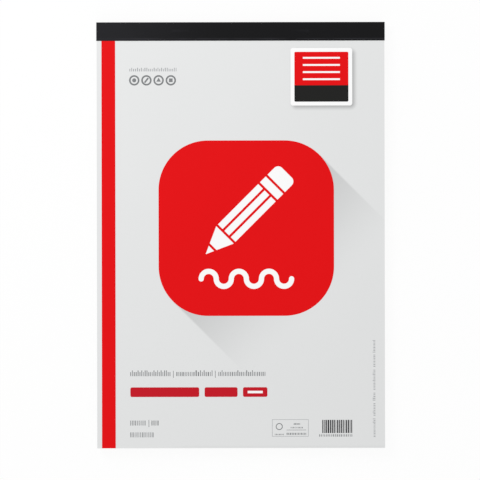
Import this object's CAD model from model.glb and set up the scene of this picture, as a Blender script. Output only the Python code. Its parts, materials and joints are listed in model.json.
"""Dresses a top-bound A4 writing pad that lies on its back. Metres, in the frame's own axes.

+X is across the pad, +Y runs up to the bound head and +Z comes out of the cover. Each operator
makes one piece, or a group of like pieces, around the frame: the stack of perforated sheets,
the card cover that bends at the tape, the cover's print, the cloth tape, and the finishes of
the board, the staples and the ruling.
"""

import json
import math
from typing import NamedTuple

import bmesh
import bpy
from bpy.props import FloatProperty, FloatVectorProperty, IntProperty, PointerProperty
from mathutils import Color, Matrix, Vector

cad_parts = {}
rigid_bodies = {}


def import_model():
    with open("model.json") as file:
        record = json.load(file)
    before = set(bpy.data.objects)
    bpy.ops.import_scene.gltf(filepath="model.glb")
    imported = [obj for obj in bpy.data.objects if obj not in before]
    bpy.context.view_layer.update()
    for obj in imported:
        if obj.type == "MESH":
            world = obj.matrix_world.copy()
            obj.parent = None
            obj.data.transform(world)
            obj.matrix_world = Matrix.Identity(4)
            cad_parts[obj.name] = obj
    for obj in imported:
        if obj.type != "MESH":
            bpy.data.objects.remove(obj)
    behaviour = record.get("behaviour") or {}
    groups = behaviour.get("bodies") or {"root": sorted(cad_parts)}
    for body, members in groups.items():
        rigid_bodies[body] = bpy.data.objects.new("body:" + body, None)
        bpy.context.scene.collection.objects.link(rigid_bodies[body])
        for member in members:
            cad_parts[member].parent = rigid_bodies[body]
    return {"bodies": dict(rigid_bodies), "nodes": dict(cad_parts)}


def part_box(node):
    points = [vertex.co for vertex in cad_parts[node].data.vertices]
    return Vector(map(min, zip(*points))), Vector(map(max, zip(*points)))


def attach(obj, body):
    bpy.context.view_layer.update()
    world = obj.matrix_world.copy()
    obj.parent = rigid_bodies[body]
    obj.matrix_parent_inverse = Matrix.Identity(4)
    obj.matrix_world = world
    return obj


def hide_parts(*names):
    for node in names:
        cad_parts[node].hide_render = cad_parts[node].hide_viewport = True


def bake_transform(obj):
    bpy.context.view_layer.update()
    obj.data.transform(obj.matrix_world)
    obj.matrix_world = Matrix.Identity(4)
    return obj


bl_info = {
    "name": "Writing pad",
    "version": (1, 0, 0),
    "blender": (4, 5, 0),
    "location": "3D View > Sidebar > Writing Pad",
    "description": "Sheets, cover, print and binding of a top-bound writing pad",
    "category": "Object",
}

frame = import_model()

MM = 0.001
PAD = "pad"
COVER = "cover"
FLAT_MAP = "flat"               # UV map in metres over a piece laid flat
RUBBED = "rubbed"               # attribute: how far the tape is rubbed paler, 0 to 1
MERGE_DISTANCE = 1e-6
SHARP_ANGLE = math.radians(35)
WHITE = (1.0, 1.0, 1.0)         # colour of the light

# Places that the frame gives
sheets_low, sheets_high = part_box("page_block")
cover_low, cover_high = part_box("front_cover")
stub_low, stub_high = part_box("cover_stub")
tape_low, tape_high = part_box("binding_tape")
stripe_low, stripe_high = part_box("stripe_print")
emblem_low, emblem_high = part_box("emblem_red_print")
label_low, label_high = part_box("label_white_print")
crease = stub_low.y
staple_boxes = [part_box(name) for name in ("staple_left", "staple_right")]

# Steps between the mesh lines of the cover
CARD_STEP = 6 * MM
FOOT_STEP = 0.25 * MM           # at the foot, whose edge curls
FOOT_REACH = 1.5                # how far those lines go, in widths of the curl
FOLD_STEP = 0.03 * MM           # in the fold at the tape

# Steps between the mesh lines of the tape
TAPE_STEP = 4 * MM              # from its left end to its right
STAPLE_STEP = 0.5 * MM          # over a staple
STAPLE_REACH = 2 * MM           # how far those lines go past its ends
LEG_STEP = 0.35 * MM            # up its front leg and down its back one
HEAD_STEP = 1.2 * MM            # down the head
TURN_STEPS = 6                  # in a quarter turn

# Lengths over which the waves of the tape's unevenness turn by a radian
LONG_RIPPLE = 17 * MM
SHORT_RIPPLE = 6.1 * MM
CROSS_RIPPLE = 2 * MM


def shade(red, green, blue):
    """A colour as it is seen on a screen, 0 to 255, as the linear values that Blender uses."""
    return tuple(Color((red / 255, green / 255, blue / 255)).from_srgb_to_scene_linear())


def scaled(base, times):
    """A colour made lighter or darker."""
    return tuple(min(1.0, part * times) for part in base)


def blend(first, second, share):
    """Two values mixed, with a share of the first."""
    return first * share + second * (1 - share)


def ease(share):
    """Smooth step from 0 to 1, held outside."""
    share = min(1.0, max(0.0, share))
    return share * share * (3 - 2 * share)


def bell(distance, width):
    """1 at no distance, falling smoothly to 0 on both sides."""
    return math.exp(-((distance / width) ** 2))


def spread(start, end, step):
    """Evenly spaced values from start to end, about a step apart."""
    count = max(1, round(abs(end - start) / step))
    return [start + (end - start) * index / count for index in range(count + 1)]


def stepped(start, *parts):
    """Values from start on, through parts that each have their own end and step."""
    values = [start]
    for end, step in parts:
        values += spread(values[-1], end, step)[1:]
    return values


def rectangle(x_low, x_high, y_low, y_high):
    """Corners of a rectangle, counter-clockwise."""
    return [(x_low, y_low), (x_high, y_low), (x_high, y_high), (x_low, y_high)]


def length(name, description, millimetres):
    """A size property in metres, given in millimetres."""
    return FloatProperty(
        name=name,
        description=description,
        default=millimetres * MM,
        precision=5,
        subtype="DISTANCE",
        unit="LENGTH",
    )


def factor(name, description, default, top=1.0):
    """A share or a plain strength."""
    return FloatProperty(
        name=name, description=description, default=default, min=0.0, max=top, subtype="FACTOR"
    )


def whole(name, description, default):
    """A count or a seed."""
    return IntProperty(
        name=name, description=description, default=default, min=0, subtype="UNSIGNED"
    )


def colour(name, description, red, green, blue):
    """A colour property, given as it is seen on a screen, 0 to 255."""
    return FloatVectorProperty(
        name=name,
        description=description,
        default=shade(red, green, blue),
        min=0.0,
        max=1.0,
        size=3,
        subtype="COLOR",
    )


class SheetSizes(bpy.types.PropertyGroup):
    """The stack of sheets and its tear line"""

    count: whole("Count", "Sheets in the stack", 100)
    gap: factor("Gap", "Share of a sheet's room that is air", 0.15)
    shuffle: length("Shuffle", "How far a sheet may lie off the stack's edges", 0.03)
    seed: whole("Seed", "Which way each sheet lies off", 4)
    head_inset: length("Head inset", "From the head of the stack to the tape's inner turn", 0.12)
    bound: length("Bound length", "From the tear line to the head", 13.8)
    slit_length: length("Slit length", "Each slit of the tear line", 3.0)
    slit_width: length("Slit width", "Across a slit", 0.15)
    tie: length("Tie", "Uncut paper between two slits", 1.0)
    leg_hole: length("Leg hole", "Side of the hole that a staple's leg makes", 0.84)
    leg_thickness: length("Leg thickness", "Across the wire of a staple's leg", 0.54)


class CoverSizes(bpy.types.PropertyGroup):
    """How the card cover lies and bends"""

    fold: length("Fold", "Length of card that bends when the cover opens", 0.6)
    bow_height: length("Bow height", "How far the foot's right corner stands off the sheets", 0.55)
    bow_length: length("Bow length", "From the foot to where the cover lies flat", 88.0)
    bow_left: factor("Left share", "Height of the bow at the left edge", 0.5)
    curl_depth: length("Curl depth", "How far the foot's edge turns down again", 0.26)
    curl_width: length("Curl width", "Width of the turned-down edge", 2.0)
    curl_start: length("Curl start", "From the left edge to where the curl begins", 46.0)
    curl_run: length("Curl run", "How far the curl takes to reach its depth", 26.0)


class PrintSizes(bpy.types.PropertyGroup):
    """The print on the cover"""

    ink: length("Ink", "Thickness of the small print's ink", 0.02)
    emblem_radius: length("Emblem radius", "Corner radius of the emblem", 36.0)
    shadow_reach: length("Shadow reach", "How far the emblem's printed shadow runs", 80.0)
    shadow_edge: length("Shadow edge", "Half the width of the long shadow's soft edge", 0.9)
    shadow_depth: factor("Shadow depth", "Darkness of the long shadow", 0.26)
    label_radius: length("Label radius", "Corner radius of the label", 1.8)
    label_offset: length("Label shadow offset", "How far the label's shadow is moved", 1.5)
    label_blur: length("Label shadow blur", "Half the width of its soft edge", 2.8)
    label_depth: factor("Label shadow depth", "Darkness of the label's shadow", 0.55)
    ring_radius: length("Ring radius", "Middle of the stroke of a small ring", 3.2)
    ring_stroke: length("Ring stroke", "Width of a small ring's stroke", 1.15)
    ring_pitch: length("Ring pitch", "Between the middles of two small rings", 8.9)
    ring_count: whole("Ring count", "Small rings in their row", 4)
    box_stroke: length("Box stroke", "Width of the outline of the box at the foot", 0.3)
    box_ring_radius: length("Box ring radius", "Middle of the stroke of the box's ring", 2.24)
    box_ring_stroke: length("Box ring stroke", "Width of that ring's stroke", 0.575)
    mark_rise: factor("Mark rise", "How much higher the taller marks are", 0.4)
    seed: whole("Seed", "Widths of the marks in the small print", 11)


class TapeSizes(bpy.types.PropertyGroup):
    """The cloth tape round the head"""

    turn_radius: length("Turn radius", "Outside of the turn over the head", 0.8)
    relief: length("Relief", "How far the tape lies under the ridges of the staples", 0.06)
    ridge_width: length("Ridge width", "Half width of the ridge over a staple's wire", 0.75)
    ridge_fade: length("Ridge fade", "How far a ridge takes to sink in at its ends", 1.0)
    clinch_gap: length("Clinch gap", "Between the turned-in ends of a staple", 3.0)
    lap: length("Lap", "From the front edge to the faint ridge beside it", 1.4)
    lap_width: length("Lap width", "Half width of that ridge", 0.36)
    lap_rise: length("Lap rise", "Height of that ridge", 0.03)
    ripple: length("Ripple", "Height of the tape's slow unevenness", 0.006)
    thread: length("Thread", "Pitch of the cloth's threads", 0.42)
    lap_rub: factor("Lap rub", "How far that ridge is rubbed paler", 0.52)
    staple_rub: factor("Staple rub", "How far the staples' ridges are rubbed paler", 0.16)
    edge_wear: length("Edge wear", "How far in the front edge is worn", 0.35)
    edge_rub: factor("Edge rub", "How far that edge is rubbed paler", 0.2)
    rubbed_tone: factor("Rubbed tone", "How many times paler rubbed cloth is", 12.0, top=20.0)
    fade: factor("Fade", "How much paler the cloth is at its left end", 2.4, top=5.0)
    fade_length: length("Fade length", "From the left end to the cloth's full depth", 95.0)


class PadColours(bpy.types.PropertyGroup):
    """Colours of the pad"""

    card: colour("Card print", "Grey print of the cover", 226, 227, 227)
    card_inside: colour("Card", "Uncoated inside and edges of the cover", 233, 232, 227)
    red: colour("Red ink", "Stripe, emblem and label", 226, 5, 11)
    deep_red: colour("Deep red ink", "Title and its tag", 194, 21, 36)
    white: colour("White", "Fields left white in the print", 250, 250, 250)
    black: colour("Black ink", "Black field of the label", 27, 27, 26)
    dark_grey: colour("Dark grey ink", "Bars of the block at the foot", 58, 58, 60)
    mid_grey: colour("Grey ink", "Captions and small rings", 128, 130, 132)
    pale_grey: colour("Pale grey ink", "The smallest print", 170, 172, 174)
    paper: colour("Paper", "Sheets", 239, 239, 235)
    ruling: colour("Ruling", "Lines of the top sheet", 158, 181, 206)
    board: colour("Greyboard", "Board at the back", 171, 166, 158)
    tape: colour("Tape", "Cloth of the tape", 10, 10, 12)
    wire: colour("Wire", "Staples", 200, 201, 203)
    floor: colour("Floor", "Surface that the pad lies on", 247, 247, 247)


class StageSizes(bpy.types.PropertyGroup):
    """Camera, light and floor"""

    lens: FloatProperty(
        name="Lens",
        description="Focal length in millimetres",
        default=135.0,
        min=1.0,
        subtype="DISTANCE_CAMERA",
        unit="CAMERA",
    )
    view_width: length("View width", "Width of the picture at the cover", 350.3)
    view_x: length("View across", "Middle of the picture, across the pad", -0.6)
    view_y: length("View along", "Middle of the picture, along the pad", -3.65)
    view_turn: FloatProperty(
        name="Turn",
        description="Turn of the camera about its own line of sight",
        default=math.radians(-0.1),
        subtype="ANGLE",
        unit="ROTATION",
    )
    room_light: factor("Room light", "Strength of the light from all round", 0.76)
    key_power: FloatProperty(
        name="Key power",
        description="Power of the large lamp in watts",
        default=4.2,
        min=0.0,
        subtype="POWER",
        unit="POWER",
    )
    key_side: length("Key side", "Side of the large lamp", 600.0)
    key_distance: length("Key distance", "From the pad to the large lamp", 1100.0)
    key_direction: FloatVectorProperty(
        name="Key direction",
        description="From the pad towards the large lamp",
        default=(-0.45, 0.5, 0.74),
        size=3,
        subtype="DIRECTION",
    )
    floor_side: length("Floor side", "Side of the floor", 6000.0)
    floor_gap: length("Floor gap", "Between the pad's back and the floor", 0.2)
    floor_glow: factor("Floor glow", "Share of the floor's white that no shadow takes", 0.91)
    clear_from: length("Clear from", "Where the floor begins to turn plain white", 460.0)
    clear_to: length("Clear to", "Where the floor is plain white", 1000.0)


class Grain(NamedTuple):
    """One noise of a finish."""

    size: float                     # in millimetres
    detail: float = 2.0
    squeeze: tuple = ()             # along X, Y and Z: below 1, it draws the grains out


class Look(NamedTuple):
    """How a finish varies over its piece: a fine grain, such as fibres, and slow clouds."""

    fine: Grain
    clouds: Grain
    fine_share: float               # of the change of tone, and the rest is the clouds'
    darker: float                   # how far the darkest tone lies below the colour
    lighter: float                  # how far the lightest tone lies above it
    roughness: float                # where the grain is lowest
    roughening: float               # what the grain adds where it is highest
    relief: float                   # depth of the grain in millimetres
    specular: float = 0.5
    metallic: float = 0.0


GROUPS = {
    "pad_sheets": SheetSizes,
    "pad_cover": CoverSizes,
    "pad_print": PrintSizes,
    "pad_tape": TapeSizes,
    "pad_colours": PadColours,
    "pad_stage": StageSizes,
}


def settings(group):
    """One of the property groups, as it stands in the scene."""
    return getattr(bpy.context.scene, group)


def linked(name, data):
    """A new object with its data, linked to the scene."""
    thing = bpy.data.objects.new(name, data)
    bpy.context.scene.collection.objects.link(thing)
    return thing


class Field:
    """A socket as a value in arithmetic: each operation adds its own Math node."""

    def __init__(self, graph, socket):
        self.graph = graph
        self.socket = socket

    def math(self, operation, *values):
        return self.graph.add(
            "ShaderNodeMath", {"operation": operation}, dict(enumerate(values))
        )

    def __add__(self, other):
        return self.math("ADD", self, other)

    def __radd__(self, other):
        return self.math("ADD", other, self)

    def __sub__(self, other):
        return self.math("SUBTRACT", self, other)

    def __rsub__(self, other):
        return self.math("SUBTRACT", other, self)

    def __mul__(self, other):
        return self.math("MULTIPLY", self, other)

    def __rmul__(self, other):
        return self.math("MULTIPLY", other, self)

    def __truediv__(self, other):
        return self.math("DIVIDE", self, other)

    def __rtruediv__(self, other):
        return self.math("DIVIDE", other, self)

    def __pow__(self, other):
        return self.math("POWER", self, other)

    def __rpow__(self, other):
        return self.math("POWER", other, self)

    def __abs__(self):
        return self.math("ABSOLUTE", self)

    def __floor__(self):
        return self.math("FLOOR", self)

    def __lt__(self, other):
        return self.math("LESS_THAN", self, other)

    def __gt__(self, other):
        return self.math("GREATER_THAN", self, other)

    def least(self, other):
        return self.math("MINIMUM", self, other)

    def most(self, other):
        return self.math("MAXIMUM", self, other)

    def wave(self):
        """Sine of the value, moved to lie between 0 and 1."""
        return self.math("SINE", self) * 0.5 + 0.5

    def eased(self, low, high):
        """Smooth step from 0 at low to 1 at high."""
        return self.graph.add(
            "ShaderNodeMapRange",
            {"interpolation_type": "SMOOTHSTEP"},
            {"Value": self, "From Min": low, "From Max": high},
        )

    def other(self, output):
        """Another output of the same node."""
        return Field(self.graph, self.socket.node.outputs[output])


class Graph:
    """A tree of nodes, for a material, the world or a grown mesh."""

    def __init__(self, tree):
        self.tree = tree

    def add(self, kind, choices=None, inputs=None, output=0):
        """Adds a node, makes its choices, feeds its inputs and gives one of its outputs."""
        node = self.tree.nodes.new(kind)
        for name, value in (choices or {}).items():
            setattr(node, name, value)
        for place, value in (inputs or {}).items():
            self.feed(node.inputs[place], value)
        return Field(self, node.outputs[output]) if node.outputs else None

    def feed(self, socket, value):
        """Links a field to a socket, or sets the socket's own value."""
        if isinstance(value, Field):
            self.tree.links.new(value.socket, socket)
        elif socket.type == "RGBA":
            socket.default_value = (*value, 1.0)
        else:
            socket.default_value = value


class Finish(Graph):
    """A material, with the steps that the finishes share."""

    def __init__(self, name, look=None):
        self.material = bpy.data.materials.new(name)
        self.material.use_nodes = True
        self.material.node_tree.nodes.clear()
        self.look = look
        super().__init__(self.material.node_tree)

    def on_piece(self):
        """Places in the piece's own axes, in metres."""
        return self.add("ShaderNodeTexCoord", output="Object")

    def laid_flat(self):
        """Places over the piece laid flat, in metres."""
        return self.add("ShaderNodeUVMap", {"uv_map": FLAT_MAP})

    def split(self, places):
        """The separate X, Y and Z of places."""
        first = self.add("ShaderNodeSeparateXYZ", inputs={0: places})
        return first, first.other("Y"), first.other("Z")

    def noise(self, places, grain):
        """Noise of 0 to 1, of the given grain."""
        if grain.squeeze:
            places = self.add(
                "ShaderNodeVectorMath", {"operation": "MULTIPLY"}, {0: places, 1: grain.squeeze}
            )
        scale = 1 / (grain.size * MM)
        return self.add(
            "ShaderNodeTexNoise",
            inputs={"Vector": places, "Scale": scale, "Detail": grain.detail},
        )

    def grains(self, places):
        """The look's fine grain and its clouds."""
        return self.noise(places, self.look.fine), self.noise(places, self.look.clouds)

    def mixed(self, first, second, share):
        """The first colour, and the second where share is 1."""
        return self.add(
            "ShaderNodeMix", {"data_type": "RGBA"}, {0: share, 6: first, 7: second}, output=2
        )

    def toned(self, base, fine, clouds):
        """A colour that goes from darker to lighter with the fine grain and the clouds."""
        darkest = scaled(base, 1 - self.look.darker)
        lightest = scaled(base, 1 + self.look.lighter)
        return self.mixed(darkest, lightest, blend(fine, clouds, self.look.fine_share))

    def surface(self, tone, grain, height=None):
        """Ends the material in one surface, rougher and higher with its grain, and gives it."""
        normal = self.add(
            "ShaderNodeBump",
            inputs={
                "Strength": 1.0,
                "Distance": self.look.relief * MM,
                "Height": grain if height is None else height,
            },
        )
        shader = self.add(
            "ShaderNodeBsdfPrincipled",
            inputs={
                "Base Color": tone,
                "Roughness": grain * self.look.roughening + self.look.roughness,
                "Normal": normal,
                "Specular IOR Level": self.look.specular,
                "Metallic": self.look.metallic,
            },
        )
        self.add("ShaderNodeOutputMaterial", inputs={"Surface": shader})
        return self.material


class Growth(Graph):
    """A tree of geometry nodes with named inputs, which copies a shape into one plain mesh."""

    def __init__(self, name, counts, sizes, start=None):
        """Names the inputs: whole numbers, lengths or shares, and the start mesh if it has one."""
        super().__init__(bpy.data.node_groups.new(name, "GeometryNodeTree"))
        kinds = {start: "Geometry"} if start else {}
        kinds |= dict.fromkeys(counts, "Int") | dict.fromkeys(sizes, "Float")
        kinds["Finish"] = "Material"
        for label, kind in kinds.items():
            self.tree.interface.new_socket(
                label, in_out="INPUT", socket_type="NodeSocket" + kind
            )
        self.tree.interface.new_socket(
            "Geometry", in_out="OUTPUT", socket_type="NodeSocketGeometry"
        )
        self.given = self.tree.nodes.new("NodeGroupInput")

    def value(self, label):
        """One of the tree's named inputs."""
        return Field(self, self.given.outputs[label])

    def vector(self, x=0.0, y=0.0, z=0.0):
        return self.add("ShaderNodeCombineXYZ", inputs={"X": x, "Y": y, "Z": z})

    def random(self, seed, low=0.0, high=1.0):
        """A random value for each point."""
        return self.add(
            "FunctionNodeRandomValue",
            {"data_type": "FLOAT"},
            {2: low, 3: high, "Seed": seed},
            output=1,
        )

    def line(self, start=(0.0, 0.0, 0.0), step=(0.0, 0.0, 0.0)):
        """A line of points, as many as the input Count says."""
        return self.add(
            "GeometryNodeMeshLine",
            {"mode": "OFFSET"},
            {"Count": self.value("Count"), "Start Location": start, "Offset": step},
        )

    def end(self, points, shape, scale=(1.0, 1.0, 1.0)):
        """Copies a shape to each point, makes the copies real and gives them the finish."""
        copies = self.add(
            "GeometryNodeInstanceOnPoints",
            inputs={"Points": points, "Instance": shape, "Scale": scale},
        )
        real = self.add("GeometryNodeRealizeInstances", inputs={"Geometry": copies})
        finished = self.add(
            "GeometryNodeSetMaterial",
            inputs={"Geometry": real, "Material": self.value("Finish")},
        )
        self.add("NodeGroupOutput", inputs={0: finished})

    def grow(self, values, start=None):
        """The plain mesh that the tree makes with these values, from a start mesh if it has one."""
        carrier = linked(self.tree.name, start or bpy.data.meshes.new(self.tree.name))
        modifier = carrier.modifiers.new("growth", "NODES")
        modifier.node_group = self.tree
        for item in self.tree.interface.items_tree:
            if item.in_out == "INPUT" and item.name in values:
                modifier[item.identifier] = values[item.name]
        depsgraph = bpy.context.evaluated_depsgraph_get()
        grown = bpy.data.meshes.new_from_object(
            carrier.evaluated_get(depsgraph), depsgraph=depsgraph
        )
        carrier.modifiers.remove(modifier)
        bpy.data.objects.remove(carrier)
        if not grown.polygons:
            raise RuntimeError(f"{self.tree.name} made no mesh")
        grown.materials.clear()
        grown.materials.append(values["Finish"])
        return grown


class Plan:
    """Flat faces that share their corners, which can be raised into a closed solid."""

    def __init__(self):
        self.corners = {}
        self.faces = []

    def face(self, corners):
        """Adds a face, with its corners (x, y) counter-clockwise."""
        self.faces.append(
            [self.corners.setdefault(corner, len(self.corners)) for corner in corners]
        )

    def row(self, y_low, y_high, low_xs, high_xs):
        """Adds one face between two lines across, with a corner at each x along them."""
        self.face([(x, y_low) for x in low_xs] + [(x, y_high) for x in reversed(high_xs)])

    def ties(self, y_low, y_high, ends):
        """Adds a row of rectangles, between each first end and the one after it."""
        for start, end in zip(ends[::2], ends[1::2]):
            self.face(rectangle(start, end, y_low, y_high))

    def raised(self, name, z_low, z_high):
        """The closed mesh over the faces: an edge that bounds one face gets a wall."""
        count = len(self.corners)
        vertices = [(x, y, z) for z in (z_low, z_high) for x, y in self.corners]
        polygons = [tuple(reversed(face)) for face in self.faces]
        polygons += [tuple(corner + count for corner in face) for face in self.faces]
        edges = [
            (start, end)
            for face in self.faces
            for start, end in zip(face, face[1:] + face[:1])
        ]
        shared = set(edges)
        for start, end in edges:
            if (end, start) not in shared:
                polygons.append((start, end, end + count, start + count))
        mesh = bpy.data.meshes.new(name)
        mesh.from_pydata(vertices, [], polygons)
        mesh.validate()
        return mesh


def closed_sheet(name, across, along, point, flat, finishes):
    """A closed sheet over a grid. point(side, a, b) places its inner (0) and outer (1) face.

    The outer face takes the first finish, and the rest takes the last. flat(a, b) is a
    place on the sheet laid flat, for the UV map.
    """
    columns = len(across)
    layer = columns * len(along)
    vertices = [point(side, a, b) for side in (0, 1) for b in along for a in across]
    outer = []
    for row in range(len(along) - 1):
        for column in range(columns - 1):
            corner = layer + row * columns + column
            outer.append((corner, corner + 1, corner + columns + 1, corner + columns))
    inner = [tuple(corner - layer for corner in reversed(face)) for face in outer]
    rim = [
        *range(columns),
        *range(2 * columns - 1, layer, columns),
        *range(layer - 2, layer - columns - 1, -1),
        *range(layer - 2 * columns, 0, -columns),
    ]
    walls = [
        (start, end, end + layer, start + layer) for start, end in zip(rim, rim[1:] + rim[:1])
    ]
    mesh = bpy.data.meshes.new(name)
    mesh.from_pydata(vertices, [], outer + inner + walls)
    places = [flat(a, b) for b in along for a in across]
    uv = mesh.uv_layers.new(name=FLAT_MAP)
    for loop in mesh.loops:
        uv.data[loop.index].uv = places[loop.vertex_index % layer]
    for finish in finishes:
        mesh.materials.append(finish)
    for polygon in mesh.polygons:
        polygon.material_index = 0 if polygon.index < len(outer) else len(finishes) - 1
        polygon.use_smooth = True
    mesh.set_sharp_from_angle(angle=SHARP_ANGLE)
    return mesh


def joined(name, meshes):
    """Several meshes of one finish as one, with its doubled vertices merged."""
    whole_mesh = bmesh.new()
    for mesh in meshes:
        whole_mesh.from_mesh(mesh)
    bmesh.ops.remove_doubles(whole_mesh, verts=whole_mesh.verts, dist=MERGE_DISTANCE)
    result = bpy.data.meshes.new(name)
    whole_mesh.to_mesh(result)
    whole_mesh.free()
    return result


def make_piece(name, mesh, slot, replaced=()):
    """Adds a finished mesh to the scene, with its slot and the nodes that it stands for."""
    piece = linked(name, mesh)
    if replaced:
        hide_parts(*replaced)
    return piece


def refinish(node, finish):
    """Gives a node of the frame its finish."""
    slots = frame["nodes"][node].material_slots
    if not slots:
        raise RuntimeError(f"{node} has no material slot")
    for slot in slots:
        slot.material = finish


def lift_at(x, y):
    """How far the closed cover stands off the sheets: it bows up to its foot, whose edge curls."""
    cover = settings("pad_cover")
    from_foot = y - cover_low.y
    from_left = x - cover_low.x
    lean = ease(from_left / (cover_high.x - cover_low.x))
    rise = cover.bow_height * (cover.bow_left + (1 - cover.bow_left) * lean)
    rise *= max(0.0, 1 - from_foot / cover.bow_length) ** 2
    edge = ease(1 - from_foot / cover.curl_width)
    curl = cover.curl_depth * edge * ease((from_left - cover.curl_start) / cover.curl_run)
    return rise - curl


def cover_stations():
    """Lines across the cover, close together at its foot and in its fold."""
    cover = settings("pad_cover")
    return stepped(
        cover_low.y,
        (cover_low.y + FOOT_REACH * cover.curl_width, FOOT_STEP),
        (crease - cover.fold, CARD_STEP),
        (crease, FOLD_STEP),
    )


def bend_at_tape(piece):
    """Lets a piece turn with the cover below the fold, and stay with the pad above it."""
    fold_start = crease - settings("pad_cover").fold
    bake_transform(piece)


def on_flat_cover(x, y):
    """A place on the cover, from its left edge and its foot."""
    return x - cover_low.x, y - cover_low.y


def card_sheet(name, low, high, finishes):
    """A sheet of the cover's full length between two corners of a box, bowed with the cover."""

    def point(side, x, y):
        return x, y, (low.z, high.z)[side] + lift_at(x, y)

    across = spread(low.x, high.x, CARD_STEP)
    return closed_sheet(name, across, cover_stations(), point, on_flat_cover, finishes)


PORES = Grain(0.25, detail=4.0)  # of the card, which show through its print
CARD_PRINT_LOOK = Look(
    fine=Grain(0.5, detail=3.0),
    clouds=Grain(70),
    fine_share=0.4,
    darker=0.02,
    lighter=0.02,
    roughness=0.42,
    roughening=0.08,
    relief=0.006,
    specular=0.15,
)
RAW_CARD_LOOK = Look(
    fine=Grain(0.4, detail=4.0, squeeze=(1.0, 0.3, 1.0)),
    clouds=Grain(12),
    fine_share=0.7,
    darker=0.05,
    lighter=0.03,
    roughness=0.7,
    roughening=0.1,
    relief=0.012,
    specular=0.2,
)
INK_LOOK = Look(
    fine=Grain(0.6),
    clouds=Grain(40),
    fine_share=0.5,
    darker=0.05,
    lighter=0.04,
    roughness=0.4,
    roughening=0.08,
    relief=0.005,
    specular=0.1,
)
PAPER_LOOK = Look(
    fine=Grain(0.35, detail=4.0, squeeze=(1.0, 0.4, 1.0)),
    clouds=Grain(9),
    fine_share=0.4,
    darker=0.06,
    lighter=0.03,
    roughness=0.68,
    roughening=0.1,
    relief=0.008,
    specular=0.2,
)
CLOTH_LOOK = Look(
    fine=Grain(0.3, detail=3.0, squeeze=(0.08, 1.0, 1.0)),
    clouds=Grain(15),
    fine_share=0.7,
    darker=0.45,
    lighter=0.6,
    roughness=0.36,
    roughening=0.1,
    relief=0.035,
    specular=0.1,
)
BOARD_LOOK = Look(
    fine=Grain(0.6, detail=5.0, squeeze=(0.35, 1.0, 1.0)),
    clouds=Grain(8, detail=3.0),
    fine_share=0.6,
    darker=0.16,
    lighter=0.12,
    roughness=0.8,
    roughening=0.1,
    relief=0.05,
    specular=0.15,
)
WIRE_LOOK = Look(
    fine=Grain(0.08, detail=3.0, squeeze=(0.1, 1.0, 1.0)),
    clouds=Grain(1.5),
    fine_share=0.5,
    darker=0.15,
    lighter=0.1,
    roughness=0.25,
    roughening=0.2,
    relief=0.004,
    metallic=1.0,
)

SHADOW_TONE = 0.1               # what the darkest printed shadow leaves of the card's colour
SHEET_TONE = 2 / 3              # of the paper's slow change of tone, the share of each sheet

# The cloth's threads, and where it is rubbed
THREAD_DRIFT = Grain(2.5)
DRIFT_TURN = 1.6                # how far the drift moves the threads' waves, in radians
THREAD_SHARE = 0.6              # of the weave, and the rest is its slubs
RUB_PATCHES = Grain(22, detail=3.0)
RUB_RANGE = (0.3, 0.6)          # of the patches, from where nothing to where all is rubbed

# The flecks of the board
FLECK_PITCH = 2.6 * MM
FLECK_EDGE = (0.06, 0.16)       # from a fleck's middle, in pitches
DARK_FLECKS = 0.35              # share of the flecks
DARK_FLECK_TONE = 0.35          # of the board's colour
DARK_FLECK_DEPTH = 0.8
PALE_FLECKS = 0.2
PALE_FLECK_TONE = 1.7
PALE_FLECK_DEPTH = 0.6
CLOUD_RELIEF = 0.5              # height of the board's clouds, of its fibres' height

FLOOR_CLOUDS = Grain(300)
FLOOR_CHANGE = 0.01             # of the floor's tone, up and down


def long_shadow(across, along):
    """Share of the printed shadow that the emblem throws down to the right, at 45 degrees."""
    sizes = settings("pad_print")
    middle = (emblem_low + emblem_high) / 2 - cover_low
    half = (emblem_high.x - emblem_low.x) / 2
    diagonal = math.sqrt(0.5)
    from_middle_x = across - middle.x
    from_middle_y = along - middle.y
    outward = (from_middle_x - from_middle_y) * diagonal
    sideways = abs((from_middle_x + from_middle_y) * diagonal)
    half_width = (half - sizes.emblem_radius) / diagonal + sizes.emblem_radius
    within = 1 - sideways.eased(half_width - sizes.shadow_edge, half_width + sizes.shadow_edge)
    begun = outward.eased(-sizes.shadow_edge, sizes.shadow_edge)
    return within * begun * (1 - outward.eased(0.0, sizes.shadow_reach))


def label_shadow(across, along):
    """Share of the soft printed shadow that the label throws down to the right."""
    sizes = settings("pad_print")
    middle = (label_low + label_high) / 2 - cover_low
    half_x = (label_high.x - label_low.x) / 2
    half_y = (label_high.y - label_low.y) / 2
    radius = sizes.label_radius + sizes.label_blur / 2
    past_x = abs(across - (middle.x + sizes.label_offset)) - (half_x - radius)
    past_y = abs(along - (middle.y - sizes.label_offset)) - (half_y - radius)
    outside = (past_x.most(0.0) ** 2 + past_y.most(0.0) ** 2) ** 0.5
    distance = outside + past_x.most(past_y).least(0.0) - radius
    return 1 - distance.eased(-sizes.label_blur, sizes.label_blur)


def printed_card():
    """Pale grey satin print, with the printed shadows of the emblem and the label."""
    finish = Finish("printed_card", CARD_PRINT_LOOK)
    base = settings("pad_colours").card
    sizes = settings("pad_print")
    flat = finish.laid_flat()
    across, along, _ = finish.split(flat)
    depth = long_shadow(across, along) * sizes.shadow_depth
    depth = depth.most(label_shadow(across, along) * sizes.label_depth)
    grey = finish.toned(base, *finish.grains(flat))
    shaded = finish.mixed(grey, scaled(base, SHADOW_TONE), depth)
    return finish.surface(shaded, finish.noise(flat, PORES))


def raw_card():
    """White uncoated card, with short fibres."""
    finish = Finish("raw_card", RAW_CARD_LOOK)
    fibres, clouds = finish.grains(finish.laid_flat())
    return finish.surface(
        finish.toned(settings("pad_colours").card_inside, fibres, clouds), fibres
    )


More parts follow.
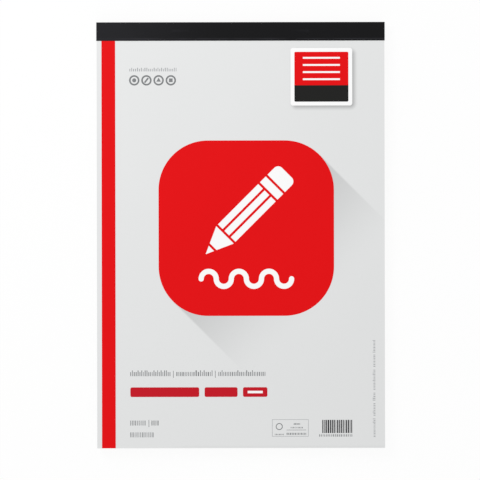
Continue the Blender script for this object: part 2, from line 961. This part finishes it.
def printed_ink(name, base, flat=False, roughness=INK_LOOK.roughness):
    """Satin ink, a little uneven in its density and with the card's pores showing."""
    finish = Finish(name, INK_LOOK._replace(roughness=roughness))
    places = finish.laid_flat() if flat else finish.on_piece()
    tone = finish.toned(base, *finish.grains(places))
    return finish.surface(tone, finish.noise(places, PORES))


def sheet_pitch():
    """The room of one sheet in the stack, with its air."""
    return (sheets_high.z - sheets_low.z) / settings("pad_sheets").count


def sheet_paper():
    """Uncoated writing paper. Each sheet of the stack has a slightly different tone."""
    finish = Finish("sheet_paper", PAPER_LOOK)
    places = finish.on_piece()
    fibres, clouds = finish.grains(places)
    _, _, height = finish.split(places)
    number = math.floor((height - sheets_low.z) / sheet_pitch())
    own_tone = finish.add("ShaderNodeTexWhiteNoise", {"noise_dimensions": "1D"}, {"W": number})
    slow = blend(own_tone, clouds, SHEET_TONE)
    return finish.surface(finish.toned(settings("pad_colours").paper, fibres, slow), fibres)


def tape_cloth():
    """Black cloth of fine threads under a thin coat, paler where it is rubbed or faded."""
    finish = Finish("tape_cloth", CLOTH_LOOK)
    tape = settings("pad_tape")
    base = settings("pad_colours").tape
    flat = finish.laid_flat()
    across, along, _ = finish.split(flat)
    turn = 2 * math.pi / tape.thread
    drift = finish.noise(flat, THREAD_DRIFT) * DRIFT_TURN
    threads = blend((across * turn + drift).wave(), (along * turn + drift).wave(), 0.5)
    slubs, clouds = finish.grains(flat)
    weave = blend(threads, slubs, THREAD_SHARE)
    faded = 1 - across.eased(0.0, tape.fade_length)
    toned = finish.add(
        "ShaderNodeVectorMath",
        {"operation": "SCALE"},
        {0: finish.toned(base, weave, clouds), "Scale": faded * tape.fade + 1},
    )
    high = finish.add("ShaderNodeAttribute", {"attribute_name": RUBBED}, output="Fac")
    worn = (1 - along.eased(0.0, tape.edge_wear)) * tape.edge_rub
    rubbed = (high * finish.noise(flat, RUB_PATCHES).eased(*RUB_RANGE)).most(worn)
    return finish.surface(
        finish.mixed(toned, scaled(base, tape.rubbed_tone), rubbed), clouds + slubs, weave
    )


def greyboard():
    """Grey pulp board with short fibres, dark flecks and pale ones."""
    finish = Finish("greyboard", BOARD_LOOK)
    base = settings("pad_colours").board
    places = finish.on_piece()
    fibres, clouds = finish.grains(places)
    dots = finish.add(
        "ShaderNodeTexVoronoi", inputs={"Vector": places, "Scale": 1 / FLECK_PITCH}
    )
    kind, _, _ = finish.split(dots.other("Color"))
    fleck = 1 - dots.eased(*FLECK_EDGE)
    dark = fleck * (kind < DARK_FLECKS) * DARK_FLECK_DEPTH
    pale = fleck * (kind > 1 - PALE_FLECKS) * PALE_FLECK_DEPTH
    tone = finish.toned(base, fibres, clouds)
    tone = finish.mixed(tone, scaled(base, DARK_FLECK_TONE), dark)
    tone = finish.mixed(tone, scaled(base, PALE_FLECK_TONE), pale)
    return finish.surface(tone, fibres, fibres + clouds * CLOUD_RELIEF)


def staple_wire():
    """Zinc-plated wire, drawn along its length."""
    finish = Finish("staple_wire", WIRE_LOOK)
    drawn, clouds = finish.grains(finish.on_piece())
    return finish.surface(finish.toned(settings("pad_colours").wire, drawn, clouds), drawn)


def sheet_stack_tree():
    """Copies of one sheet, one above the other, each moved a little off the stack's edges."""
    tree = Growth(
        "sheet_stack", counts=("Count", "Seed"), sizes=("Pitch", "Shuffle"), start="Sheet"
    )
    shuffle = tree.value("Shuffle")
    moved = tree.add(
        "FunctionNodeRandomValue",
        {"data_type": "FLOAT_VECTOR"},
        {
            0: tree.vector(0 - shuffle, 0 - shuffle),
            1: tree.vector(shuffle, shuffle),
            "Seed": tree.value("Seed"),
        },
    )
    places = tree.line(step=tree.vector(z=tree.value("Pitch")))
    shuffled = tree.add("GeometryNodeSetPosition", inputs={"Geometry": places, "Offset": moved})
    tree.end(shuffled, tree.value("Sheet"))
    return tree


def sheet_plan():
    """One sheet: slits along the tear line, and the holes of the staples' legs above it."""
    sheets = settings("pad_sheets")
    left, right = sheets_low.x, sheets_high.x
    head = sheets_high.y - sheets.head_inset
    tear_line = sheets_high.y - sheets.bound
    slit_low = tear_line - sheets.slit_width / 2
    slit_high = tear_line + sheets.slit_width / 2

    pitch = sheets.slit_length + sheets.tie
    slit_count = int((right - left - sheets.tie) // pitch)
    first = -(slit_count * pitch - sheets.tie) / 2
    slit_ends = []
    for index in range(slit_count):
        slit_ends += [first + index * pitch, first + index * pitch + sheets.slit_length]
    tie_ends = [left, *slit_ends, right]

    staple_y = (staple_boxes[0][0].y + staple_boxes[0][1].y) / 2
    hole_low = staple_y - sheets.leg_hole / 2
    hole_high = staple_y + sheets.leg_hole / 2
    hole_ends = []
    for low, high in staple_boxes:
        hole_ends += [low.x, low.x + sheets.leg_thickness]
        hole_ends += [high.x - sheets.leg_thickness, high.x]
    bridge_ends = [left, *hole_ends, right]

    plan = Plan()
    plan.row(sheets_low.y, slit_low, [left, right], tie_ends)
    plan.ties(slit_low, slit_high, tie_ends)
    plan.row(slit_high, hole_low, tie_ends, bridge_ends)
    plan.ties(hole_low, hole_high, bridge_ends)
    plan.row(hole_high, head, bridge_ends, [left, right])
    return plan


def mark_row_tree():
    """A row of upright marks of uneven width that fills a given length, some of them taller."""
    tree = Growth(
        "mark_row",
        counts=("Count", "Seed"),
        sizes=("Length", "Height", "Gap", "Variation", "Taller", "Rise", "Thickness"),
    )
    count = tree.value("Count")
    seed = tree.value("Seed")
    variation = tree.value("Variation")
    gap = tree.value("Gap") * tree.value("Length") / count
    share = tree.random(seed, 1 - variation, variation + 1)
    before = tree.add(
        "GeometryNodeAccumulateField", {"data_type": "FLOAT"}, {"Value": share}, output="Trailing"
    )
    unit = (tree.value("Length") - gap * (count - 1)) / before.other("Total")
    width = share * unit
    start = before * unit + gap * tree.add("GeometryNodeInputIndex")
    rise = (tree.random(seed + 1) < tree.value("Taller")) * tree.value("Rise")
    height = tree.value("Height") * (rise + 1)
    thickness = tree.value("Thickness")
    middle = tree.vector(start + width / 2, height / 2, thickness / 2)
    placed = tree.add(
        "GeometryNodeSetPosition", inputs={"Geometry": tree.line(), "Position": middle}
    )
    cube = tree.add("GeometryNodeMeshCube", inputs={"Size": (1.0, 1.0, 1.0)})
    tree.end(placed, cube, tree.vector(width, height, thickness))
    return tree


def ring_row_tree():
    """A row of flat rings."""
    tree = Growth(
        "ring_row", counts=("Count",), sizes=("Pitch", "Radius", "Stroke", "Thickness")
    )
    thickness = tree.value("Thickness")
    points = tree.line(tree.vector(z=thickness / 2), tree.vector(tree.value("Pitch")))
    circle = tree.add(
        "GeometryNodeCurvePrimitiveCircle",
        {"mode": "RADIUS"},
        {"Resolution": RING_SIDES, "Radius": tree.value("Radius")},
    )
    stroke = tree.add(
        "GeometryNodeCurvePrimitiveQuadrilateral",
        {"mode": "RECTANGLE"},
        {"Width": tree.value("Stroke"), "Height": thickness},
    )
    ring = tree.add(
        "GeometryNodeCurveToMesh", inputs={"Curve": circle, "Profile Curve": stroke}
    )
    tree.end(points, ring)
    return tree


class Row(NamedTuple):
    """Marks of small print, in millimetres from the cover's left edge and foot."""

    across: float
    up: float
    length: float
    height: float
    marks: int
    gap: float = 0.57               # share of the row that is bare
    variation: float = 0.35         # of the marks' widths
    taller: float = 0.3             # share of the marks
    upright: bool = False           # the row runs up the cover, and not across it


class Bar(NamedTuple):
    """One plain bar of small print, in millimetres from the cover's left edge and foot."""

    across: float
    up: float
    length: float
    height: float


def regular_figure(sides, radius, turn=0):
    """Corners of a regular figure, turned by some degrees."""
    angles = [math.radians(turn + 360 * index / sides) for index in range(sides)]
    return [(radius * math.cos(angle), radius * math.sin(angle)) for angle in angles]


def slanted_bar(half_length, half_width, slant):
    """Corners of a bar, slanted by some degrees."""
    turn = Matrix.Rotation(math.radians(slant), 2)
    corners = rectangle(-half_length, half_length, -half_width, half_width)
    return [tuple(turn @ Vector(corner)) for corner in corners]


CAPTION_ROWS = (
    Row(24.2, 52.6, 29.2, 3.0, 23),
    Row(57.8, 52.6, 26.3, 3.0, 19),
    Row(88.4, 52.6, 34.3, 3.0, 27),
    Row(24.2, 16.6, 11.0, 3.6, 8, gap=0.66, taller=0.0),
    Row(39.6, 16.6, 5.1, 3.6, 4, gap=0.66, taller=0.0),
    Row(24.2, 8.0, 16.8, 3.6, 12, gap=0.66, taller=0.0),
    Row(129.6, 9.4, 6.4, 1.0, 7, taller=0.0),
    Row(143.4, 17.0, 4.6, 1.1, 5, gap=0.45, taller=0.0),
    Row(141.2, 14.4, 8.8, 1.0, 10, taller=0.0),
    Row(138.2, 9.6, 14.2, 1.5, 13, gap=0.5, taller=0.0),
    Row(162.0, 8.3, 24.0, 1.7, 19, gap=0.6, taller=0.0),
)
CAPTION_BARS = (
    Bar(55.4, 51.3, 0.4, 5.2),
    Bar(86.0, 51.3, 0.4, 5.2),
    Bar(37.5, 15.5, 0.4, 5.2),
    Bar(138.2, 13.0, 14.2, 0.3),
)
PALE_ROWS = (
    Row(23.9, 275.0, 34.3, 1.9, 26, gap=0.55),
    Row(203.0, 8.0, 13.4, 1.4, 13, upright=True),
    Row(203.0, 23.4, 9.1, 1.4, 8, upright=True),
    Row(203.0, 34.6, 5.6, 1.4, 5, upright=True),
    Row(203.0, 42.4, 14.6, 1.4, 14, upright=True),
    Row(203.0, 59.2, 8.8, 1.4, 8, upright=True),
    Row(203.0, 69.6, 9.0, 1.4, 9, upright=True),
)
BLOCK_ROWS = (Row(164.2, 10.9, 21.8, 9.6, 17, gap=0.41, variation=0.95, taller=0.0),)
BOX = Bar(127.6, 8.4, 26.6, 12.5)
BOX_RING = (132.8, 15.7)        # middle of the box's ring
RING_ROW = (27.4, 268.5)        # middle of the first small ring
RING_SIDES = 40
RING_FIGURES = (                # in shares of a ring's radius
    regular_figure(20, 0.462),
    slanted_bar(0.672, 0.189, 52),
    regular_figure(3, 0.609, 90),
    regular_figure(4, 0.588, 45),
)


def cover_place(across, up):
    """The x and y of a place in millimetres from the cover's left edge and foot."""
    return cover_low.x + across * MM, cover_low.y + up * MM


def at_cover(across, up, upright=False):
    """Takes a mesh that starts at the origin to such a place on the flat cover."""
    place = Matrix.Translation((*cover_place(across, up), cover_high.z))
    if upright:
        return place @ Matrix.Rotation(math.pi / 2, 4, "Z")
    return place


def inked(plan):
    """The mesh of the ink over a plan on the flat cover."""
    return plan.raised("ink", cover_high.z, cover_high.z + settings("pad_print").ink)


def mark_rows(rows, finish):
    """The meshes of rows of marks, each at its place."""
    sizes = settings("pad_print")
    tree = mark_row_tree()
    meshes = []
    for number, row in enumerate(rows):
        mesh = tree.grow(
            {
                "Length": row.length * MM,
                "Height": row.height * MM,
                "Count": row.marks,
                "Gap": row.gap,
                "Variation": row.variation,
                "Taller": row.taller,
                "Rise": sizes.mark_rise,
                "Thickness": sizes.ink,
                "Seed": sizes.seed + 2 * number,
                "Finish": finish,
            }
        )
        mesh.transform(at_cover(row.across, row.up, row.upright))
        meshes.append(mesh)
    return meshes


def plain_bars(bars):
    """The mesh of plain bars, each at its place."""
    plan = Plan()
    for bar in bars:
        x, y = cover_place(bar.across, bar.up)
        plan.face(rectangle(x, x + bar.length * MM, y, y + bar.height * MM))
    return inked(plan)


def ring_row(count, start, radius, stroke, finish):
    """The mesh of a row of rings whose first middle is at start."""
    sizes = settings("pad_print")
    mesh = ring_row_tree().grow(
        {
            "Count": count,
            "Pitch": sizes.ring_pitch,
            "Radius": radius,
            "Stroke": stroke,
            "Thickness": sizes.ink,
            "Finish": finish,
        }
    )
    mesh.transform(at_cover(*start))
    return mesh


def ring_fillings():
    """The mesh of the figures in the small rings: disc, slanted bar, triangle and square."""
    sizes = settings("pad_print")
    x, y = cover_place(*RING_ROW)
    plan = Plan()
    for number in range(sizes.ring_count):
        middle = x + number * sizes.ring_pitch
        figure = RING_FIGURES[number % len(RING_FIGURES)]
        plan.face([(middle + a * sizes.ring_radius, y + b * sizes.ring_radius) for a, b in figure])
    return inked(plan)


def box_outline():
    """The mesh of the thin outline of the box at the foot."""
    stroke = settings("pad_print").box_stroke
    x_low, y_low = cover_place(BOX.across, BOX.up)
    x_high, y_high = cover_place(BOX.across + BOX.length, BOX.up + BOX.height)
    outer = rectangle(x_low, x_high, y_low, y_high)
    inner = rectangle(x_low + stroke, x_high - stroke, y_low + stroke, y_high - stroke)
    plan = Plan()
    for side in range(4):
        following = (side + 1) % 4
        plan.face([outer[side], outer[following], inner[following], inner[side]])
    return inked(plan)


def lay_on_cover(name, meshes, finish, slot="black_ink", replaced=()):
    """Joins print that was laid on the flat cover, and raises it with the cover's bow."""
    mesh = joined(name, meshes)
    for vertex in mesh.vertices:
        vertex.co.z += lift_at(vertex.co.x, vertex.co.y)
    mesh.materials.append(finish)
    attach(make_piece(name, mesh, slot, replaced), COVER)


class Station(NamedTuple):
    """A line along the tape, where it lies and which way it faces there."""

    y: float
    z: float
    facing_y: float
    facing_z: float
    reached: float = 0.0            # from the tape's front edge


def tape_turn(y, z, radius, start):
    """Stations round a quarter turn of the tape about y and z, after a start in degrees."""
    stations = []
    for step in range(1, TURN_STEPS + 1):
        angle = math.radians(start - 90 * step / TURN_STEPS)
        across, up = math.cos(angle), math.sin(angle)
        stations.append(Station(y + radius * across, z + radius * up, across, up))
    return stations


def tape_section():
    """Stations from the tape's front edge over the head to its back edge."""
    tape = settings("pad_tape")
    top = tape_high.z - tape.relief
    back = tape_low.z + tape.relief
    head = tape_high.y - tape.relief
    radius = tape.turn_radius - tape.relief
    turn_y = head - radius
    section = [
        *[Station(y, top, 0.0, 1.0) for y in spread(crease, turn_y, LEG_STEP)],
        *tape_turn(turn_y, top - radius, radius, 90),
        *[Station(head, z, 1.0, 0.0) for z in spread(top - radius, back + radius, HEAD_STEP)[1:]],
        *tape_turn(turn_y, back + radius, radius, 0),
        *[Station(y, back, 0.0, -1.0) for y in spread(turn_y, tape_low.y, LEG_STEP)[1:]],
    ]
    measured = section[:1]
    for before, station in zip(section, section[1:]):
        reached = measured[-1].reached + math.dist(before[:2], station[:2])
        measured.append(station._replace(reached=reached))
    return measured


def staple_ridge(x, station):
    """1 on top of the ridges that the staples push up in the tape, and 0 away from them."""
    tape = settings("pad_tape")
    share = 0.0
    for low, high in staple_boxes:
        beside = bell(station.y - (low.y + high.y) / 2, tape.ridge_width)
        from_end = min(x - low.x, high.x - x)
        ridge = beside * ease(from_end / tape.ridge_fade) * abs(station.facing_z)
        if station.facing_z < 0:
            from_gap = abs(x - (low.x + high.x) / 2) - tape.clinch_gap / 2
            ridge *= ease(from_gap / tape.ridge_fade)
        share += ridge
    return share


def lap_ridge(station):
    """1 on top of the faint ridge beside the tape's front edge, and 0 away from it."""
    tape = settings("pad_tape")
    if station.facing_z <= 0:
        return 0.0
    return bell(station.y - crease - tape.lap, tape.lap_width)


def tape_rise(x, station):
    """How far the tape stands up from its lowest face: over the staples and beside its edge."""
    tape = settings("pad_tape")
    waves = math.sin(x / LONG_RIPPLE) + math.sin(x / SHORT_RIPPLE + station.y / CROSS_RIPPLE)
    staples = (tape.relief - 2 * tape.ripple) * staple_ridge(x, station)
    return tape.ripple * waves + staples + tape.lap_rise * lap_ridge(station)


def tape_columns():
    """Places of the mesh lines across the tape, close together over the staples."""
    parts = []
    for low, high in staple_boxes:
        parts += [(low.x - STAPLE_REACH, TAPE_STEP), (high.x + STAPLE_REACH, STAPLE_STEP)]
    return stepped(tape_low.x, *parts, (tape_high.x, TAPE_STEP))


def tape_mesh(finish):
    """The cloth tape, wrapped from the cover over the head to the back."""
    tape = settings("pad_tape")
    section = tape_section()
    columns = tape_columns()
    thickness = tape_high.z - stub_high.z - tape.relief

    def point(side, x, station):
        out = tape_rise(x, station) if side else -thickness
        return x, station.y + station.facing_y * out, station.z + station.facing_z * out

    def flat(x, station):
        return x - tape_low.x, station.reached

    mesh = closed_sheet("binding_tape", columns, section, point, flat, [finish])
    rubbed = [
        tape.staple_rub * staple_ridge(x, station) + tape.lap_rub * lap_ridge(station)
        for station in section
        for x in columns
    ]
    both_faces = rubbed * 2
    mesh.attributes.new(RUBBED, "FLOAT", "POINT").data.foreach_set("value", both_faces)
    return mesh


class WRITING_PAD_OT_sheets(bpy.types.Operator):
    """Stack the perforated sheets"""

    bl_idname = "writing_pad.sheets"
    bl_label = "Stack the Sheets"

    def execute(self, context):
        sheets = settings("pad_sheets")
        pitch = sheet_pitch()
        air = pitch * sheets.gap
        lowest = sheets_low.z + air / 2
        start = sheet_plan().raised("one_sheet", lowest, lowest + pitch - air)
        mesh = sheet_stack_tree().grow(
            {
                "Count": sheets.count,
                "Pitch": pitch,
                "Shuffle": sheets.shuffle,
                "Seed": sheets.seed,
                "Finish": sheet_paper(),
            },
            start,
        )
        piece = make_piece("sheet_stack", mesh, "sheet_paper", ["page_block"])
        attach(piece, PAD)
        return {"FINISHED"}


class WRITING_PAD_OT_cover(bpy.types.Operator):
    """Lay the card cover, which bends at the tape's edge"""

    bl_idname = "writing_pad.cover"
    bl_label = "Lay the Cover"

    def execute(self, context):
        card = card_sheet("cover_card", cover_low, cover_high, [printed_card(), raw_card()])
        bend_at_tape(make_piece("cover_card", card, "cover_card", ["front_cover"]))
        refinish("cover_stub", printed_ink("bound_card", settings("pad_colours").card))
        return {"FINISHED"}


class WRITING_PAD_OT_cover_print(bpy.types.Operator):
    """Print the cover's stripe, emblem, label and title"""

    bl_idname = "writing_pad.cover_print"
    bl_label = "Print the Cover"

    def execute(self, context):
        colours = settings("pad_colours")
        red = printed_ink("red_ink", colours.red)
        white = printed_ink("white_ink", colours.white)
        black = printed_ink("black_ink", colours.black, roughness=0.34)
        title = printed_ink("title_ink", colours.deep_red)
        for node, finish in (
            ("emblem_red_print", red),
            ("emblem_white_print", white),
            ("label_white_print", white),
            ("label_red_print", red),
            ("label_black_print", black),
        ):
            refinish(node, finish)

        stripe_ink = printed_ink("stripe_ink", colours.red, flat=True)
        stripe = card_sheet("stripe", stripe_low, stripe_high, [stripe_ink])
        bend_at_tape(make_piece("stripe_on_cover", stripe, "red_ink", ["stripe_print"]))

        for name, node, slot, finish in (
            ("title_bars", "title_red_print", "red_ink", title),
            ("title_line", "title_white_print", "white_ink", white),
        ):
            lay_on_cover(name, [frame["nodes"][node].data], finish, slot, [node])
        return {"FINISHED"}


class WRITING_PAD_OT_small_print(bpy.types.Operator):
    """Print the small marks, rings and bars on the cover"""

    bl_idname = "writing_pad.small_print"
    bl_label = "Print the Small Marks"

    def execute(self, context):
        colours = settings("pad_colours")
        sizes = settings("pad_print")
        grey = printed_ink("grey_ink", colours.mid_grey)
        pale = printed_ink("pale_grey_ink", colours.pale_grey)
        dark = printed_ink("dark_grey_ink", colours.dark_grey)
        rings = ring_row(sizes.ring_count, RING_ROW, sizes.ring_radius, sizes.ring_stroke, grey)
        box_ring = ring_row(1, BOX_RING, sizes.box_ring_radius, sizes.box_ring_stroke, grey)
        captions = [*mark_rows(CAPTION_ROWS, grey), plain_bars(CAPTION_BARS), box_ring]
        lay_on_cover("ring_row", [rings, ring_fillings()], grey)
        lay_on_cover("caption_marks", captions, grey)
        lay_on_cover("smallest_marks", [*mark_rows(PALE_ROWS, pale), box_outline()], pale)
        lay_on_cover("bar_block", mark_rows(BLOCK_ROWS, dark), dark)
        return {"FINISHED"}


class WRITING_PAD_OT_tape(bpy.types.Operator):
    """Wrap the cloth tape over the head"""

    bl_idname = "writing_pad.tape"
    bl_label = "Wrap the Tape"

    def execute(self, context):
        piece = make_piece("cloth_tape", tape_mesh(tape_cloth()), "tape_cloth", ["binding_tape"])
        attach(piece, PAD)
        return {"FINISHED"}


class WRITING_PAD_OT_board(bpy.types.Operator):
    """Finish the board, the staples and the top sheet's ruling"""

    bl_idname = "writing_pad.board"
    bl_label = "Finish Board, Staples and Ruling"

    def execute(self, context):
        wire = staple_wire()
        ruling = printed_ink("rule_ink", settings("pad_colours").ruling, roughness=0.6)
        refinish("backing_board", greyboard())
        refinish("staple_left", wire)
        refinish("staple_right", wire)
        refinish("ruling_print", ruling)
        return {"FINISHED"}


class WRITING_PAD_OT_stage(bpy.types.Operator):
    """Set up the floor, the light and the camera over the pad"""

    bl_idname = "writing_pad.stage"
    bl_label = "Set the Stage"

    def execute(self, context):
        self.lay_floor()
        self.light_room(context.scene)
        self.hang_key_lamp()
        self.place_camera(context.scene)
        context.scene.view_settings.view_transform = "Standard"
        return {"FINISHED"}

    def seen_directly(self, graph):
        """1 for what the camera sees, straight or in a gloss or a glass, and 0 for the rest."""
        ray = graph.add("ShaderNodeLightPath", output="Is Camera Ray")
        return (ray + ray.other("Is Glossy Ray") + ray.other("Is Transmission Ray")).least(1.0)

    def lay_floor(self):
        stage = settings("pad_stage")
        finish = Finish("floor")
        base = settings("pad_colours").floor
        places = finish.on_piece()
        tone = finish.mixed(
            scaled(base, 1 - FLOOR_CHANGE),
            scaled(base, 1 + FLOOR_CHANGE),
            finish.noise(places, FLOOR_CLOUDS),
        )
        matt = finish.add("ShaderNodeBsdfDiffuse", inputs={"Color": tone})
        white = finish.add("ShaderNodeEmission", inputs={"Color": WHITE, "Strength": 1.0})
        from_pad = finish.add(
            "ShaderNodeVectorMath", {"operation": "LENGTH"}, {0: places}, output="Value"
        )
        clear = from_pad.eased(stage.clear_from, stage.clear_to)
        share = clear * (1 - stage.floor_glow) + stage.floor_glow
        glow = self.seen_directly(finish) * share
        mixed = finish.add("ShaderNodeMixShader", inputs={0: glow, 1: matt, 2: white})
        finish.add("ShaderNodeOutputMaterial", inputs={"Surface": mixed})

        half = stage.floor_side / 2
        corners = [(x, y, -stage.floor_gap) for x, y in rectangle(-half, half, -half, half)]
        mesh = bpy.data.meshes.new("floor")
        mesh.from_pydata(corners, [], [(0, 1, 2, 3)])
        mesh.materials.append(finish.material)
        linked("floor", mesh)

    def light_room(self, scene):
        stage = settings("pad_stage")
        world = bpy.data.worlds.new("room")
        world.use_nodes = True
        world.node_tree.nodes.clear()
        graph = Graph(world.node_tree)
        strength = self.seen_directly(graph) * (1 - stage.room_light) + stage.room_light
        room = graph.add("ShaderNodeBackground", inputs={"Color": WHITE, "Strength": strength})
        graph.add("ShaderNodeOutputWorld", inputs={"Surface": room})
        scene.world = world

    def hang_key_lamp(self):
        stage = settings("pad_stage")
        lamp = bpy.data.lights.new("key_lamp", "AREA")
        lamp.energy = stage.key_power
        lamp.size = stage.key_side
        direction = Vector(stage.key_direction).normalized()
        hung = linked("key_lamp", lamp)
        hung.location = direction * stage.key_distance
        hung.rotation_euler = direction.to_track_quat("Z", "Y").to_euler()

    def place_camera(self, scene):
        stage = settings("pad_stage")
        camera = bpy.data.cameras.new("camera")
        camera.lens = stage.lens
        distance = stage.view_width * camera.lens / camera.sensor_width
        placed = linked("camera", camera)
        placed.location = (stage.view_x, stage.view_y, cover_high.z + distance)
        placed.rotation_euler = (0.0, 0.0, stage.view_turn)
        scene.camera = placed


STEPS = (
    WRITING_PAD_OT_stage,
    WRITING_PAD_OT_sheets,
    WRITING_PAD_OT_cover,
    WRITING_PAD_OT_cover_print,
    WRITING_PAD_OT_small_print,
    WRITING_PAD_OT_tape,
    WRITING_PAD_OT_board,
)


class WRITING_PAD_PT_dressing(bpy.types.Panel):
    """Sizes and colours of the pad, and the steps that dress it"""

    bl_idname = "WRITING_PAD_PT_dressing"
    bl_label = "Writing Pad"
    bl_space_type = "VIEW_3D"
    bl_region_type = "UI"
    bl_category = "Writing Pad"

    def draw(self, context):
        for attribute, group in GROUPS.items():
            part = self.layout.box()
            part.label(text=group.__doc__)
            for name in group.__annotations__:
                part.prop(getattr(context.scene, attribute), name)
        for step in STEPS:
            self.layout.operator(step.bl_idname)


def register():
    for kind in (*GROUPS.values(), *STEPS, WRITING_PAD_PT_dressing):
        bpy.utils.register_class(kind)
    for attribute, group in GROUPS.items():
        setattr(bpy.types.Scene, attribute, PointerProperty(type=group))


def unregister():
    for attribute in GROUPS:
        delattr(bpy.types.Scene, attribute)
    for kind in (WRITING_PAD_PT_dressing, *reversed(STEPS), *reversed(GROUPS.values())):
        bpy.utils.unregister_class(kind)


def clear_startup_scene():
    """Removes what a new scene holds, such as its cube."""
    kept = [*frame["nodes"].values(), *frame["bodies"].values()]
    for thing in list(bpy.data.objects):
        if thing not in kept:
            bpy.data.objects.remove(thing)


def main():
    clear_startup_scene()
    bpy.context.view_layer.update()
    register()
    for step in STEPS:
        category, name = step.bl_idname.split(".")
        getattr(getattr(bpy.ops, category), name)()


if __name__ == "__main__":
    main()
